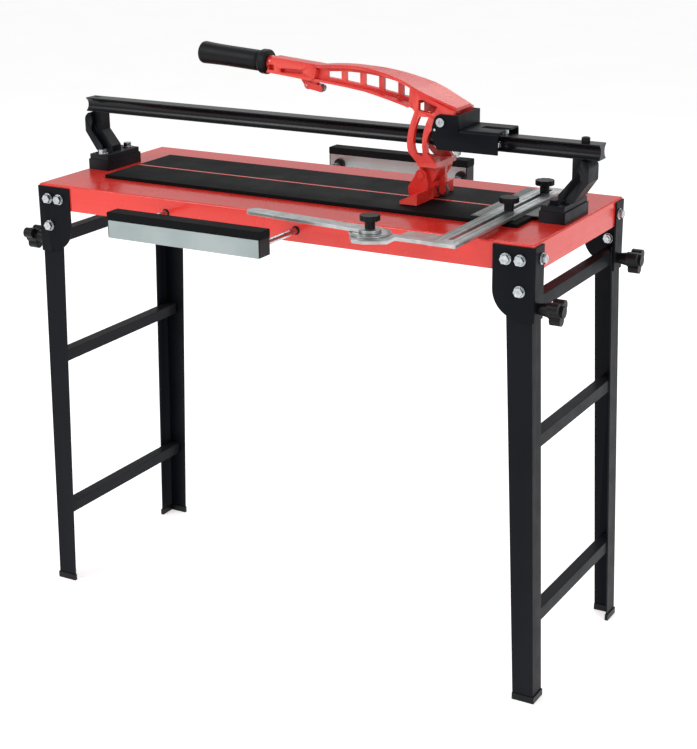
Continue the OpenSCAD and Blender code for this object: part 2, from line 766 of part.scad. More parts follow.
// Foot pin, wheel axle and the rest link's pin
module head_pins() color(zinc) at_pivot() {
    translate([foot_pin[0], 0, foot_pin[1]]) {
        rod_y(-neck_w / 2 - gap - ear_t - gap, neck_w / 2 + gap + ear_t + gap, pin_r);
        front_and_rear() rod_y(neck_w / 2 + gap + ear_t + gap, neck_w / 2 + gap + ear_t + 2, pin_r + 2);
    }
    translate([wheel_at[0], 0, wheel_at[1]]) rod_y(-holder_w / 2, holder_w / 2, 1.5);
    translate([link_pin[0], 0, link_pin[1]]) rod_y(-8.5, 8.5, link_pin_r);
}

module wheel_holder() color(red) at_pivot() difference() {
    slab_y(-holder_w / 2, holder_w / 2) {
        translate([holder_x[0], wheel_at[1]]) square([holder_x[1] - holder_x[0], collar_z[0] - wheel_at[1]]);
        translate(wheel_at) circle((holder_x[1] - holder_x[0]) / 2);
    }
    box_at([holder_x[0] - 1, holder_x[1] + 1], [-wheel_t / 2 - gap, wheel_t / 2 + gap],
        [wheel_at[1] - 20, wheel_at[1] + wheel_d / 2 + 2]);
    translate([wheel_at[0], 0, wheel_at[1]]) rod_y(-holder_w, holder_w, 1.5 + run_fit);
}

module scoring_wheel() color(zinc) at_pivot() translate([wheel_at[0], 0, wheel_at[1]]) rotate([90, 0, 0])
    rotate_extrude() difference() {
        polygon([[1.5 + run_fit, -wheel_t / 2], [wheel_d / 2 - 2.5, -wheel_t / 2], [wheel_d / 2, -0.15],
            [wheel_d / 2, 0.15], [wheel_d / 2 - 2.5, wheel_t / 2], [1.5 + run_fit, wheel_t / 2]]);
    }

module breaking_foot() color(red) at_pivot() difference() {
    union() {
        slab_y(foot_y[0], foot_y[1]) polygon([[foot_x[0], foot_bottom], [foot_x[1], foot_bottom],
            [foot_x[1], foot_bottom + 17.5], [foot_x[1] - 3, foot_bottom + 18],
            [foot_x[0], foot_bottom + 5]]);
        front_and_rear() slab_y(neck_w / 2 + gap, neck_w / 2 + gap + ear_t) {
            polygon([[foot_x[0], foot_bottom + 2], [-60, -106], [-47, -86], [-29, -86], [-25, -100],
                [foot_x[1], foot_bottom + 2]]);
            translate(foot_pin) circle(neck_r);
        }
    }
    translate([foot_pin[0], 0, foot_pin[1]]) rod_y(-fork_w, fork_w, pin_r + run_fit);
    box_at([-43, 0], [-holder_w / 2 - 0.8, holder_w / 2 + 0.8], [foot_bottom - 1, foot_bottom + 30]);
}

module rest_link() color(red) at_pivot() difference() {
    union() {
        front_and_rear() slab_y(lever_web / 2 + gap, lever_web / 2 + gap + 3) {
            translate(link_pin) circle(5);
            translate(roller_at) circle(5);
            polygon([link_pin + [0.8, 5], roller_at + [0.8, 5],
                roller_at + [-0.8, -5], link_pin + [-0.8, -5]]);
        }
        translate([roller_at[0], 0, roller_at[1]]) rod_y(-lever_web / 2 - 1, lever_web / 2 + 1, link_pin_r);
        mid = (link_pin + roller_at) / 2;
        box_at([mid[0] + 1, mid[0] + 3], [-lever_web / 2 - 1, lever_web / 2 + 1], [mid[1] - 4.5, mid[1] - 0.5]);
    }
    translate([link_pin[0], 0, link_pin[1]]) rod_y(-20, 20, link_pin_r + run_fit);
}

module rest_roller() color(zinc) at_pivot() translate([roller_at[0], 0, roller_at[1]]) difference() {
    rod_y(-lever_web / 2, lever_web / 2, 6.5);
    rod_y(-lever_web, lever_web, link_pin_r + run_fit);
}

// ---- Leg frames, drawn at the right end ----

// The leg frame leans outwards about its pivot
module splayed() translate([pivot_x, 0, pivot_z]) rotate([0, -leg_splay, 0]) children();

module rear_leg() difference() {
    splayed() difference() {
        union() {
            slab_y(leg_y - leg_t, leg_y) {
                circle(leg_top_r);
                polygon([[-leg_top_r, 0], [leg_out, 0], [leg_out, -table_h], [-leg_foot_in, -table_h],
                    [-leg_top_in, -leg_taper_at]]);
            }
            box_at([leg_out - leg_t, leg_out], [leg_y - leg_side_w, leg_y], [-table_h, -6]);
        }
        rod_y(leg_y - leg_t - 1, leg_y + 1, bolt_r + run_fit);
        translate([0, lock_y, -lock_drop]) rod_x(0, leg_out + 1, lock_hole_r);
    }
    box_at([0, table_len], [0, table_wid], [-table_h, cap_t]);
}

module legs() color(black) front_and_rear() rear_leg();

module braces() color(black) splayed() for (drop = concat(brace_drops, pivot_z - brace_low)) difference() {
    box_at([leg_out - leg_t - brace_w, leg_out - leg_t], [-leg_y + leg_t, leg_y - leg_t],
        [-drop - brace_w / 2, -drop + brace_w / 2]);
    box_at([leg_out - leg_t - brace_w + brace_t, leg_out - leg_t - brace_t], [-leg_y, leg_y],
        [-drop - brace_w / 2 + brace_t, -drop + brace_w / 2 - brace_t]);
}

module foot_caps() color(rubber) front_and_rear() difference() {
    x1 = pivot_x + leg_out * cos(leg_splay) + pivot_z * sin(leg_splay) + cap_t;
    x0 = x1 - leg_out - leg_foot_in - 2 * cap_t;
    y1 = leg_y + cap_t;
    wall = leg_t + 2 * cap_t;
    union() {
        box_at([x0, x1], [y1 - wall, y1], [0, cap_h]);
        box_at([x1 - wall, x1], [y1 - leg_side_w - 2 * cap_t, y1], [0, cap_h]);
    }
    rear_leg();
}

module left_legs() mirror([1, 0, 0]) legs();

module right_legs() legs();

module left_braces() mirror([1, 0, 0]) braces();

module right_braces() braces();

module left_foot_caps() mirror([1, 0, 0]) foot_caps();

module right_foot_caps() foot_caps();

// ---- Leg lock knobs, drawn at the rear right corner ----

module lock_knob() color(black) translate([half_len + bracket_t + gap, lock_y, lock_z]) {
    rod_x(-bracket_t - gap - 2.4, 1, lock_screw_r);
    rotate([0, 90, 0]) cylinder(h = 17, r1 = 8, r2 = 11);
    rod_x(17, 37, 12);
    rod_x(37, 39.7, 9);
    for (a = [0:120:359]) rotate([a, 0, 0]) translate([0, 0, -(lock_r - 8.5)]) rod_x(19, 36, 8.5);
}

module lock_knob_rear_right() lock_knob();

module lock_knob_front_right() mirror([0, 1, 0]) lock_knob();

module lock_knob_rear_left() mirror([1, 0, 0]) lock_knob();

module lock_knob_front_left() mirror([1, 0, 0]) mirror([0, 1, 0]) lock_knob();

// ---- Tile supports, drawn at the front about the support's middle ----

module front_rod_places() for (x = rod_offsets) translate([support_mid_x[0] + x, 0, rod_z]) children();

module rear_rod_places() for (x = rod_offsets) translate([support_mid_x[1] - x, 0, rod_z]) children();

module support_frame(rear) translate([support_mid_x[rear], 0, 0]) rotate([0, 0, 180 * rear]) children();

module support_profile(rear) color(aluminium) support_frame(rear) difference() {
    half = support_len / 2 - 3;
    z1 = support_top - support_pad_t;
    box_at([-half, half], [-support_reach, -support_reach + support_w], [z1 - support_h, z1]);
    box_at([-half - 1, half + 1], [-support_reach + 2, -support_reach + support_w - 2],
        [z1 - support_h + 2, z1 - 2]);
    for (x = rod_offsets) translate([x, 0, rod_z])
        rod_y(-support_reach + support_w - 3, -support_reach + support_w + 1, rod_r + run_fit);
}

module support_pad(rear) color(rubber) support_frame(rear)
    box_at([-support_len / 2, support_len / 2], [-support_reach, -support_reach + support_w],
        [support_top - support_pad_t, support_top]);

module support_caps(rear) color(rubber) support_frame(rear) {
    for (s = [0, 1]) mirror([s, 0, 0])
        box_at([support_len / 2 - 3, support_len / 2 - 1], [-support_reach + 0.6, -support_reach + support_w],
            [support_top - support_pad_t - support_h + 0.6, support_top - support_pad_t]);
    for (x = rod_offsets) translate([x, -support_reach + support_w, rod_z]) difference() {
        rod_y(0, rod_collar[1], rod_collar[0]);
        rod_y(-1, rod_collar[1] + 1, rod_r + run_fit);
    }
}

module support_rods(rear) color(zinc) support_frame(rear) for (x = rod_offsets)
    translate([x, 0, rod_z]) rod_y(-support_reach + 2, -support_reach + 2 + rod_len, rod_r);

module front_support_profile() support_profile(0);

module front_support_pad() support_pad(0);

module front_support_caps() support_caps(0);

module front_support_rods() support_rods(0);

module rear_support_profile() support_profile(1);

module rear_support_pad() support_pad(1);

module rear_support_caps() support_caps(1);

module rear_support_rods() support_rods(1);

// A bush in the front skirt
module rod_bush() difference() {
    union() {
        rod_y(-half_wid - 0.6, -half_wid + table_t + 1, grommet[1]);
        rod_y(-half_wid + table_t, -half_wid + table_t + grommet[2], grommet[0]);
    }
    rod_y(-half_wid - 10, -half_wid + 10, rod_r + run_fit);
}

module rod_grommets() color(rubber) {
    front_rod_places() rod_bush();
    rear_rod_places() mirror([0, 1, 0]) rod_bush();
}

// Two channels under the table carry the inner ends of the rods
module guide_channels() color(black) difference() {
    z1 = table_h - table_t;
    front_and_rear() slab_x(-channel_len / 2, channel_len / 2) difference() {
        translate([channel_y - channel_w, z1 - channel_h]) square([channel_w, channel_h]);
        translate([channel_y - channel_w - 1, z1 - channel_h + channel_t])
            square([channel_w + 1 - channel_t, channel_h - 2 * channel_t]);
    }
    front_rod_places() rod_y(-half_wid, half_wid, rod_r + run_fit);
    rear_rod_places() rod_y(-half_wid, half_wid, rod_r + run_fit);
    lock_places(0) rod_up(-channel_h, 0, lock_screw_r + run_fit);
    lock_places(1) rod_up(-channel_h, 0, lock_screw_r + run_fit);
}

// Lock screws clamp the right-hand front rod and the right-hand rear rod from below
module lock_places(rear) {
    x = rear == 0 ? support_mid_x[0] + rod_offsets[1] : support_mid_x[1] - rod_offsets[0];
    y = rear == 0 ? -channel_y + channel_w / 2 : channel_y - channel_w / 2;
    translate([x, y, rod_z]) children();
}

module support_lock(rear) color(black) lock_places(rear) {
    under = table_h - table_t - channel_h - rod_z - gap;
    rod_up(under - 1, -rod_r - gap, lock_screw_r);
    rod_up(under - 3, under, lock_head[0] - 3);
    rod_up(under - lock_head[1], under - 3, lock_head[0]);
}

module front_support_lock() support_lock(0);

module rear_support_lock() support_lock(1);

table_top();
breaking_rib();
front_pad();
rear_pad();
corner_brackets();
bracket_bolts();
table_nuts();
post_bases();
left_post();
right_post();
post_bolts();
guide_rail();
rail_stop();
scale_plate();
guide_studs();
rod_grommets();
guide_channels();
carriage_body();
bearing_axles();
lever_pivot_bolt();
carriage_screws();
bearing_front_left();
bearing_front_right();
bearing_rear_left();
bearing_rear_right();
lever_arm();
lever_grip();
head_pins();
wheel_holder();
rest_link();
rest_roller();
breaking_foot();
scoring_wheel();
left_legs();
left_braces();
left_foot_caps();
right_legs();
right_braces();
right_foot_caps();
lock_knob_front_left();
lock_knob_front_right();
lock_knob_rear_left();
lock_knob_rear_right();
front_support_profile();
front_support_pad();
front_support_caps();
front_support_rods();
rear_support_profile();
rear_support_pad();
rear_support_caps();
rear_support_rods();
fence_square();
protractor();
fence_arm();
fence_knob_front();
fence_knob_rear();
arm_knob();
front_support_lock();
rear_support_lock();
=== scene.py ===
import json
import math
import bpy
import bmesh
from mathutils import Matrix, Vector


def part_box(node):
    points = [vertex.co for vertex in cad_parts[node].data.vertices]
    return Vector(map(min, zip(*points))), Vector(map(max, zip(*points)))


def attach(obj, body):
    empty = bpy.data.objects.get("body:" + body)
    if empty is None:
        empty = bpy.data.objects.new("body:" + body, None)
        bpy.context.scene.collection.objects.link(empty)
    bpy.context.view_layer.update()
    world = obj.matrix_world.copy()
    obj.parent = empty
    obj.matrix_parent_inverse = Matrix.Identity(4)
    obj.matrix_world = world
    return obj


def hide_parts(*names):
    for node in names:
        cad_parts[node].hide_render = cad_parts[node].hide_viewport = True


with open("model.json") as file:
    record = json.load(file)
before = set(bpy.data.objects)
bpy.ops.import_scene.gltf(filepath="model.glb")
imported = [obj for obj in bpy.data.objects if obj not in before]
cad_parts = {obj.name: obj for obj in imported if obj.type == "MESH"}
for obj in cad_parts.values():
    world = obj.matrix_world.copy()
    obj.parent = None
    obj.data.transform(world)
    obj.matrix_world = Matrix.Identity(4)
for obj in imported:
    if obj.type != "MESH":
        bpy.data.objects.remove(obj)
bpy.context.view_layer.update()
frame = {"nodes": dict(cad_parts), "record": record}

# where every node belongs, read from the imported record
bodyOfNode = {}
for bodyName, nodeNames in frame["record"]["behaviour"]["bodies"].items():
    for nodeName in nodeNames:
        bodyOfNode[nodeName] = bodyName
slotOfNode = {s["node"]: s["material_slot"] for s in frame["record"]["subparts"]}
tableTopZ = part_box("table_top")[1][2]

# ---------- materials ----------

def startMaterial(name):
    mat = bpy.data.materials.new(name)
    mat.use_nodes = True
    nodes = mat.node_tree.nodes
    return mat, mat.node_tree, nodes["Principled BSDF"]


def objectCoords(tree, stretch=(1, 1, 1)):
    coord = tree.nodes.new("ShaderNodeTexCoord")
    mapping = tree.nodes.new("ShaderNodeMapping")
    mapping.inputs["Scale"].default_value = stretch
    tree.links.new(coord.outputs["Object"], mapping.inputs["Vector"])
    return mapping.outputs["Vector"]


def noiseField(tree, vector, scale, detail=3.0, rough=0.5):
    noise = tree.nodes.new("ShaderNodeTexNoise")
    noise.inputs["Scale"].default_value = scale
    noise.inputs["Detail"].default_value = detail
    noise.inputs["Roughness"].default_value = rough
    tree.links.new(vector, noise.inputs["Vector"])
    return noise.outputs["Fac"]


def cellField(tree, vector, scale):
    cells = tree.nodes.new("ShaderNodeTexVoronoi")
    cells.inputs["Scale"].default_value = scale
    tree.links.new(vector, cells.inputs["Vector"])
    return cells.outputs["Distance"]


def stepped(tree, value, low, high, toLow, toHigh):
    remap = tree.nodes.new("ShaderNodeMapRange")
    for socket, number in zip(("From Min", "From Max", "To Min", "To Max"), (low, high, toLow, toHigh)):
        remap.inputs[socket].default_value = number
    tree.links.new(value, remap.inputs["Value"])
    return remap.outputs["Result"]


def blendColours(tree, factor, first, second):
    ramp = tree.nodes.new("ShaderNodeValToRGB")
    ramp.color_ramp.elements[0].position = 0.3
    ramp.color_ramp.elements[1].position = 0.7
    ramp.color_ramp.elements[0].color = (*first, 1)
    ramp.color_ramp.elements[1].color = (*second, 1)
    tree.links.new(factor, ramp.inputs["Fac"])
    return ramp.outputs["Color"]


def addBump(tree, shader, height, strength, distance):
    bump = tree.nodes.new("ShaderNodeBump")
    bump.inputs["Strength"].default_value = strength
    bump.inputs["Distance"].default_value = distance
    tree.links.new(height, bump.inputs["Height"])
    tree.links.new(bump.outputs["Normal"], shader.inputs["Normal"])


# how far an edge must stand out before its painted highlight starts, and where it is brightest
edgeTurn = dict(start=0.53, full=0.62)


def paintedEdgeHighlight(tree, colour, highlightColour, amount):
    # brightens convex edges: a painted highlight along the rounded edges, brightest where they are sharpest
    geometry = tree.nodes.new("ShaderNodeNewGeometry")
    sharpness = geometry.outputs["Pointiness"]
    highlightShare = stepped(tree, sharpness, edgeTurn["start"], edgeTurn["full"], 0.0, amount)
    mix = tree.nodes.new("ShaderNodeMix")
    mix.data_type = "RGBA"
    mix.inputs["B"].default_value = (*highlightColour, 1)
    tree.links.new(highlightShare, mix.inputs["Factor"])
    tree.links.new(colour, mix.inputs["A"])
    return mix.outputs["Result"]


def paintedMaterial(name, look):
    # a paint film: slow colour drift, orange peel, and a painted highlight on the edges
    mat, tree, shader = startMaterial(name)
    vector = objectCoords(tree)
    drift = noiseField(tree, vector, look["driftScale"], 4)
    colour = blendColours(tree, drift, look["deep"], look["light"])
    # the edges get a lighter colour, a painted highlight
    tree.links.new(paintedEdgeHighlight(tree, colour, look["edge"], look["edgeAmount"]), shader.inputs["Base Color"])
    cloud = noiseField(tree, vector, 38, 5)
    tree.links.new(stepped(tree, cloud, 0.3, 0.7, *look["rough"]), shader.inputs["Roughness"])
    addBump(tree, shader, noiseField(tree, vector, look["peelScale"], 2), look["peel"], 0.0002)
    shader.inputs["Specular IOR Level"].default_value = look["specular"]
    shader.inputs["Coat Weight"].default_value = look["coat"]
    shader.inputs["Coat Roughness"].default_value = look["coatRough"]
    return mat


def grainyMaterial(name, look):
    # rubber and moulded plastic: fine pitted grain with dusty high spots
    mat, tree, shader = startMaterial(name)
    vector = objectCoords(tree)
    dust = noiseField(tree, vector, look["dustScale"], 6, 0.62)
    tree.links.new(blendColours(tree, dust, look["deep"], look["light"]), shader.inputs["Base Color"])
    tree.links.new(stepped(tree, dust, 0.3, 0.7, *look["rough"]), shader.inputs["Roughness"])
    addBump(tree, shader, cellField(tree, vector, look["grainScale"]), look["grain"], 0.0003)
    shader.inputs["Specular IOR Level"].default_value = look["specular"]
    shader.inputs["Sheen Weight"].default_value = look["sheen"]
    return mat


def brushedMaterial(name, look):
    # bare metal: marks drawn out along one direction, clouded reflection
    mat, tree, shader = startMaterial(name)
    marks = noiseField(tree, objectCoords(tree, look["stretch"]), look["markScale"], 5, 0.65)
    cloud = noiseField(tree, objectCoords(tree), look["cloudScale"], 4)
    tree.links.new(blendColours(tree, cloud, look["deep"], look["light"]), shader.inputs["Base Color"])
    tree.links.new(stepped(tree, marks, 0.25, 0.75, *look["rough"]), shader.inputs["Roughness"])
    addBump(tree, shader, marks, look["depth"], 0.0001)
    shader.inputs["Metallic"].default_value = look["metallic"]
    shader.inputs["Specular IOR Level"].default_value = look.get("specular", 0.5)
    return mat


# each look's edge colour is a painted highlight on convex edges
paintLooks = {
    "red_paint": dict(deep=(0.70, 0.022, 0.014), light=(0.77, 0.032, 0.021),
                      edge=(0.88, 0.12, 0.09), edgeAmount=0.5, driftScale=2.2, rough=(0.20, 0.30),
                      peelScale=160, peel=0.05, specular=0.38, coat=0.3, coatRough=0.10),
    "red_casting": dict(deep=(0.63, 0.016, 0.010), light=(0.72, 0.026, 0.017),
                        edge=(0.88, 0.11, 0.08), edgeAmount=0.6, driftScale=12, rough=(0.22, 0.36),
                        peelScale=260, peel=0.14, specular=0.4, coat=0.25, coatRough=0.14),
    "black_paint": dict(deep=(0.0024, 0.0034, 0.0054), light=(0.0050, 0.0064, 0.0092),
                        edge=(0.035, 0.038, 0.043), edgeAmount=0.6, driftScale=6,
                        rough=(0.30, 0.42), peelScale=700, peel=0.2, specular=0.05, coat=0.0,
                        coatRough=0.3),
    "black_casting": dict(deep=(0.0022, 0.0030, 0.0046), light=(0.0048, 0.0060, 0.0084),
                          edge=(0.035, 0.037, 0.042), edgeAmount=0.6, driftScale=20,
                          rough=(0.30, 0.46), peelScale=380, peel=0.45, specular=0.07, coat=0.0,
                          coatRough=0.3),
}
grainLooks = {
    "pad_rubber": dict(deep=(0.0030, 0.0034, 0.0040), light=(0.0066, 0.0070, 0.0080), dustScale=14,
                       rough=(0.60, 0.78), grainScale=700, grain=0.35, specular=0.08, sheen=0.0),
    "grip_rubber": dict(deep=(0.0032, 0.0038, 0.0048), light=(0.0070, 0.0076, 0.0090), dustScale=30,
                        rough=(0.40, 0.56), grainScale=1100, grain=0.4, specular=0.18, sheen=0.02),
    "black_plastic": dict(deep=(0.0030, 0.0032, 0.0040), light=(0.0070, 0.0072, 0.0082),
                          dustScale=40, rough=(0.34, 0.48), grainScale=1500, grain=0.3,
                          specular=0.2, sheen=0.0),
    "markedPlate": dict(deep=(0.050, 0.052, 0.054), light=(0.095, 0.098, 0.10), dustScale=220,
                        rough=(0.35, 0.5), grainScale=900, grain=0.4, specular=0.5, sheen=0.0),
    "markInk": dict(deep=(0.012, 0.012, 0.013), light=(0.03, 0.03, 0.032), dustScale=300,
                    rough=(0.5, 0.7), grainScale=900, grain=0.2, specular=0.3, sheen=0.0),
    "markPale": dict(deep=(0.42, 0.43, 0.43), light=(0.58, 0.59, 0.59), dustScale=300,
                     rough=(0.35, 0.5), grainScale=900, grain=0.2, specular=0.4, sheen=0.0),
}
metalLooks = {
    "zinc_plate": dict(deep=(0.34, 0.36, 0.38), light=(0.60, 0.63, 0.65), stretch=(1, 1, 1),
                       markScale=420, cloudScale=190, rough=(0.16, 0.34), depth=0.15, metallic=1.0),
    "square_aluminium": dict(deep=(0.36, 0.38, 0.38), light=(0.56, 0.58, 0.58), stretch=(6, 0.7, 6),
                             markScale=220, cloudScale=60, rough=(0.26, 0.44), depth=0.35,
                             metallic=0.9),
    "profile_aluminium": dict(deep=(0.27, 0.32, 0.32), light=(0.37, 0.42, 0.42),
                              stretch=(0.3, 8, 8), markScale=260, cloudScale=12, rough=(0.26, 0.40),
                              depth=0.15, metallic=0.75),
    "bearing_steel": dict(deep=(0.55, 0.56, 0.58), light=(0.72, 0.73, 0.75), stretch=(1, 1, 8),
                          markScale=300, cloudScale=90, rough=(0.12, 0.24), depth=0.08,
                          metallic=1.0),
    "tool_steel": dict(deep=(0.16, 0.165, 0.175), light=(0.26, 0.265, 0.28), stretch=(1, 5, 1),
                       markScale=400, cloudScale=120, rough=(0.26, 0.42), depth=0.15, metallic=1.0),
    "rail_black": dict(deep=(0.0034, 0.0040, 0.0054), light=(0.0070, 0.0078, 0.0098),
                       stretch=(0.12, 10, 10), markScale=260, cloudScale=9, rough=(0.20, 0.32),
                       depth=0.2, metallic=0.0, specular=0.22),
}
finishes = {}
for slotName, look in paintLooks.items():
    finishes[slotName] = paintedMaterial(slotName, look)
for slotName, look in grainLooks.items():
    finishes[slotName] = grainyMaterial(slotName, look)
for slotName, look in metalLooks.items():
    finishes[slotName] = brushedMaterial(slotName, look)
print("materials made:", len(finishes))

# ---------- pieces from the frame, with worked edges ----------

# the rounded edge of each piece; a key covers every node whose name starts with it
edgeWork = {
    "default": dict(width=0.0005, segments=2),
    "table_top": dict(width=0.0007, segments=2),
    "lever_arm": dict(width=0.0013, segments=3),
    "breaking_foot": dict(width=0.0013, segments=3),
    "left_post": dict(width=0.0015, segments=3),
    "right_post": dict(width=0.0015, segments=3),
    "post_bases": dict(width=0.0012, segments=3),
    "front_pad": dict(width=0.0009, segments=2),
    "rear_pad": dict(width=0.0009, segments=2),
    "front_support_pad": dict(width=0.0014, segments=3),
    "rear_support_pad": dict(width=0.0014, segments=3),
    "corner_brackets": dict(width=0.0007, segments=2),
    "left_legs": dict(width=0.0007, segments=2),
    "right_legs": dict(width=0.0007, segments=2),
    "left_braces": dict(width=0.0012, segments=2),
    "right_braces": dict(width=0.0012, segments=2),
    "lock_knob": dict(width=0.0022, segments=3),
    "fence_knob": dict(width=0.0012, segments=2),
    "arm_knob": dict(width=0.0012, segments=2),
}
ownFinish = {"scale_plate": "markedPlate"}
# metres, then degrees: points this near are one, faces this flat are one, corners past this are rounded
meshWork = dict(merge=0.000004, flat=0.8, corner=32)


def camel(node):
    words = node.split("_")
    return words[0] + "".join(w.capitalize() for w in words[1:])


def edgesFor(node):
    for key, work in edgeWork.items():
        if node.startswith(key):
            return work
    return edgeWork["default"]


def finishMesh(obj, creaseAngle=40):
    # flat faces keep flat shading beside their rounded edges, then the modifiers are baked in
    obj.data.shade_smooth()
    if not obj.modifiers:
        obj.data.set_sharp_from_angle(angle=math.radians(creaseAngle))
    weighted = obj.modifiers.new("flats", "WEIGHTED_NORMAL")
    weighted.weight = 100
    weighted.keep_sharp = True
    graph = bpy.context.evaluated_depsgraph_get()
    mesh = bpy.data.meshes.new_from_object(obj.evaluated_get(graph))
    obj.modifiers.clear()
    obj.data = mesh
    return obj


def place(obj, node, material=None):
    obj.data.materials.clear()
    obj.data.materials.append(material or finishes[ownFinish.get(node, slotOfNode[node])])
    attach(obj, bodyOfNode[node])


def workedPiece(node):
    work = edgesFor(node)
    mesh = frame["nodes"][node].data.copy()
    built = bmesh.new()
    built.from_mesh(mesh)
    bmesh.ops.remove_doubles(built, verts=built.verts, dist=meshWork["merge"])
    flat = math.radians(meshWork["flat"])
    bmesh.ops.dissolve_limit(built, angle_limit=flat, verts=built.verts, edges=built.edges)
    built.to_mesh(mesh)
    built.free()
    obj = bpy.data.objects.new(camel(node), mesh)
    bpy.context.scene.collection.objects.link(obj)
    bevel = obj.modifiers.new("edges", "BEVEL")
    bevel.width = work["width"]
    bevel.segments = work["segments"]
    bevel.limit_method = "ANGLE"
    bevel.angle_limit = math.radians(meshWork["corner"])
    finishMesh(obj)
    place(obj, node)
    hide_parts(node)
    return obj


ownShape = {"lever_grip"}
pieces = {}
for node in frame["nodes"]:
    if node not in ownShape:
        pieces[node] = workedPiece(node)


def secondFinish(node, slotName, wanted):
    # faces whose middle passes the test take another finish
    mesh = pieces[node].data
    mesh.materials.append(finishes[slotName])
    for face in mesh.polygons:
        if wanted(face.center):
            face.material_index = 1


# the right post's bolts and the rail screws are blackened, the foot pin is painted over
screwLevel = tableTopZ + 0.05
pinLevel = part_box("breaking_foot")[1][2] + 0.02
secondFinish("post_bolts", "black_paint", lambda spot: spot.x > 0 or spot.z > screwLevel)
secondFinish("head_pins", "red_casting", lambda spot: spot.z < pinLevel)
print("worked pieces:", len(frame["nodes"]) - len(ownShape))

# ---------- rubber grip ----------

gripSizes = dict(radius=0.0168, endRadius=0.0185, collarRadius=0.0200, length=0.130, tilt=3.8, turns=64,
                 swellLength=0.055, endRound=0.006, endShare=0.78, grooveAt=0.112, grooveDepth=0.0014,
                 grooveWidth=0.0016, flareAfter=0.0035, flareSoft=0.0009, lipFrom=0.985, lipDrop=0.0016)


def gripRadius(t):
    # swelling towards the closed end, a groove, then the flared collar
    s = gripSizes
    x = t * s["length"]
    swell = (s["endRadius"] - s["radius"]) * max(0.0, 1 - x / s["swellLength"]) ** 2
    r = s["radius"] + swell
    if x < s["endRound"]:
        dome = math.sqrt(max(0.0, 1 - (1 - x / s["endRound"]) ** 2))
        r *= dome * (1 - s["endShare"]) + s["endShare"]
    groove = math.exp(-((x - s["grooveAt"]) / s["grooveWidth"]) ** 2)
    flare = 1 / (1 + math.exp(-(x - s["grooveAt"] - s["flareAfter"]) / s["flareSoft"]))
    return r - groove * s["grooveDepth"] + flare * (s["collarRadius"] - r)


def buildGrip():
    s = gripSizes
    low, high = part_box("lever_grip")
    tilt = math.radians(s["tilt"])
    openEnd = Vector((high[0] - s["collarRadius"] * math.sin(tilt), 0, 0))
    openEnd.z = low[2] + s["collarRadius"] * math.cos(tilt)
    along = Vector((-math.cos(tilt), 0, math.sin(tilt)))
    across = Vector((math.sin(tilt), 0, math.cos(tilt)))
    start = openEnd + along * s["length"]
    built = bmesh.new()
    rings = []
    # close together over the rounded end, then even to the collar
    stations = [0.0, 0.004, 0.012, 0.024, 0.036] + [0.05 + 0.95 * i / 90 for i in range(91)]
    for t in stations:
        middle = start - along * (t * s["length"])
        r = gripRadius(t)
        if t > s["lipFrom"]:
            r -= (t - s["lipFrom"]) / (1 - s["lipFrom"]) * s["lipDrop"]
        ring = []
        for k in range(s["turns"]):
            a = 2 * math.pi * k / s["turns"]
            spot = middle + across * (r * math.cos(a)) + Vector((0, r * math.sin(a), 0))
            ring.append(built.verts.new(spot))
        rings.append(ring)
    for first, second in zip(rings, rings[1:]):
        for k in range(s["turns"]):
            n = (k + 1) % s["turns"]
            built.faces.new((first[k], first[n], second[n], second[k]))
    built.faces.new(rings[0])
    built.faces.new(list(reversed(rings[-1])))
    bmesh.ops.recalc_face_normals(built, faces=built.faces)
    mesh = bpy.data.meshes.new("leverGrip")
    built.to_mesh(mesh)
    built.free()
    obj = bpy.data.objects.new("leverGrip", mesh)
    bpy.context.scene.collection.objects.link(obj)
    finishMesh(obj, 50)
    place(obj, "lever_grip")
    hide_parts("lever_grip")


buildGrip()
print("grip built")

# ---------- Geometry Nodes for what repeats ----------

def newTree(name, inputs):
    tree = bpy.data.node_groups.new(name, "GeometryNodeTree")
    tree.interface.new_socket("Geometry", in_out="OUTPUT", socket_type="NodeSocketGeometry")
    for label, kind in inputs:
        tree.interface.new_socket(label, in_out="INPUT", socket_type=kind)
    return tree, tree.nodes.new("NodeGroupInput"), tree.nodes.new("NodeGroupOutput")


def closeTree(tree, instances, source, output):
    realize = tree.nodes.new("GeometryNodeRealizeInstances")
    paint = tree.nodes.new("GeometryNodeSetMaterial")
    tree.links.new(instances, realize.inputs["Geometry"])
    tree.links.new(realize.outputs["Geometry"], paint.inputs["Geometry"])
    tree.links.new(source.outputs["Material"], paint.inputs["Material"])
    tree.links.new(paint.outputs["Geometry"], output.inputs["Geometry"])
    return tree


def markRowTree():
    # a straight row of small blocks
    tree, source, output = newTree("markRow", [("Count", "NodeSocketInt"), ("Start", "NodeSocketVector"),
        ("Step", "NodeSocketVector"), ("Size", "NodeSocketVector"), ("Material", "NodeSocketMaterial")])
    row = tree.nodes.new("GeometryNodeMeshLine")
    row.mode = "OFFSET"
    block = tree.nodes.new("GeometryNodeMeshCube")
    copies = tree.nodes.new("GeometryNodeInstanceOnPoints")
    tree.links.new(source.outputs["Count"], row.inputs["Count"])
    tree.links.new(source.outputs["Start"], row.inputs["Start Location"])
    tree.links.new(source.outputs["Step"], row.inputs["Offset"])
    tree.links.new(source.outputs["Size"], block.inputs["Size"])
    tree.links.new(row.outputs["Mesh"], copies.inputs["Points"])
    tree.links.new(block.outputs["Mesh"], copies.inputs["Instance"])
    return closeTree(tree, copies.outputs["Instances"], source, output)


